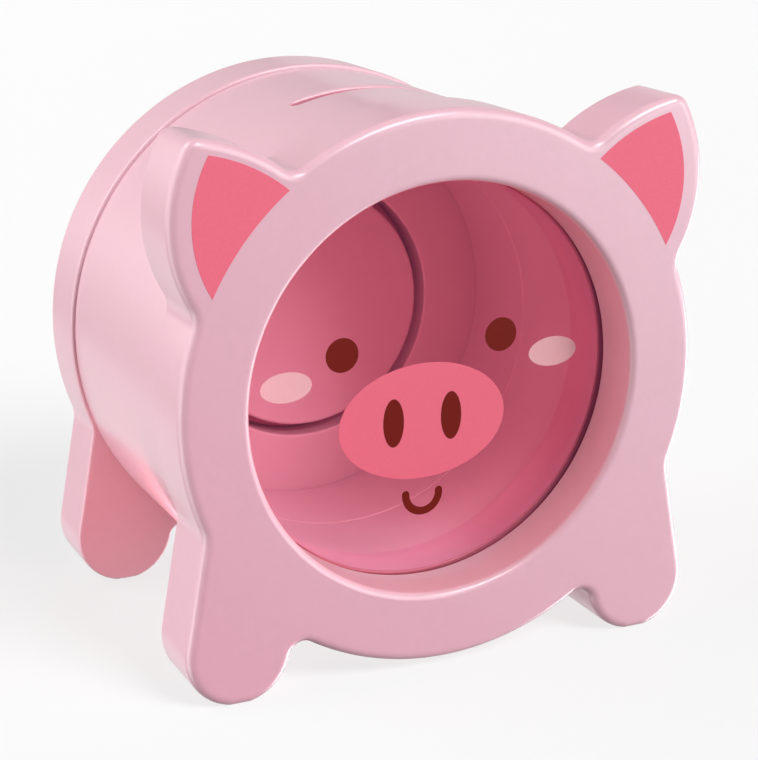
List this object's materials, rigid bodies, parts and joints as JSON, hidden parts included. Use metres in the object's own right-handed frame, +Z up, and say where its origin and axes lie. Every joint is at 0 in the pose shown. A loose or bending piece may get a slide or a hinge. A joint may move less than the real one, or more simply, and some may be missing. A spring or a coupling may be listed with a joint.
{
  "type": "wooden money box",
  "caption": "Pig-shaped wooden money box with a clear printed window in its face, a coin slot on top and a round pull-out door in the back.",
  "frame": {"origin": "on the floor under the middle of the money box, half way between face and back", "axes": "+Z up; the face looks along -Y and the door comes out along +Y; +X to the right seen from the front"},
  "size_m": [0.1332, 0.0974, 0.132],
  "materials": {
    "pink_paint_front": "satin pink paint on sanded board",
    "rose_acrylic": "clear rose-tinted acrylic sheet, polished",
    "pink_paint_barrel": "satin pale pink paint on sanded board",
    "pink_paint_rear": "satin pale pink paint on sanded board",
    "pink_paint_door": "satin pale pink paint on sanded board",
    "seal_rubber": "matte dusky rose rubber",
    "bare_beech": "bare turned beech",
    "pink_print": "screen-printed ink, satin",
    "pale_print": "screen-printed ink, satin",
    "dark_print": "screen-printed ink, satin"
  },
  "bodies": {
    "box": {"front_panel": "pink_paint_front", "window_pane": "rose_acrylic", "barrel_front_ring": "pink_paint_barrel", "barrel_slot_ring": "pink_paint_barrel", "barrel_rear_ring": "pink_paint_barrel", "rear_panel": "pink_paint_rear", "dowel_upper_right": "bare_beech", "dowel_upper_left": "bare_beech", "dowel_lower_left": "bare_beech", "dowel_lower_right": "bare_beech"},
    "seal": {"door_seal_ring": "seal_rubber"},
    "door": {"rear_door": "pink_paint_door"}
  },
  "joints": [
    {"name": "door_pull", "type": "slide", "parent": "box", "child": "seal", "axis": [0, 1, 0], "range_m": [0, 0.045]},
    {"name": "door_turn", "type": "hinge", "parent": "seal", "child": "door", "pos_m": [0, 0.04875, 0.067], "axis": [0, 1, 0], "continuous": true}
  ]
}
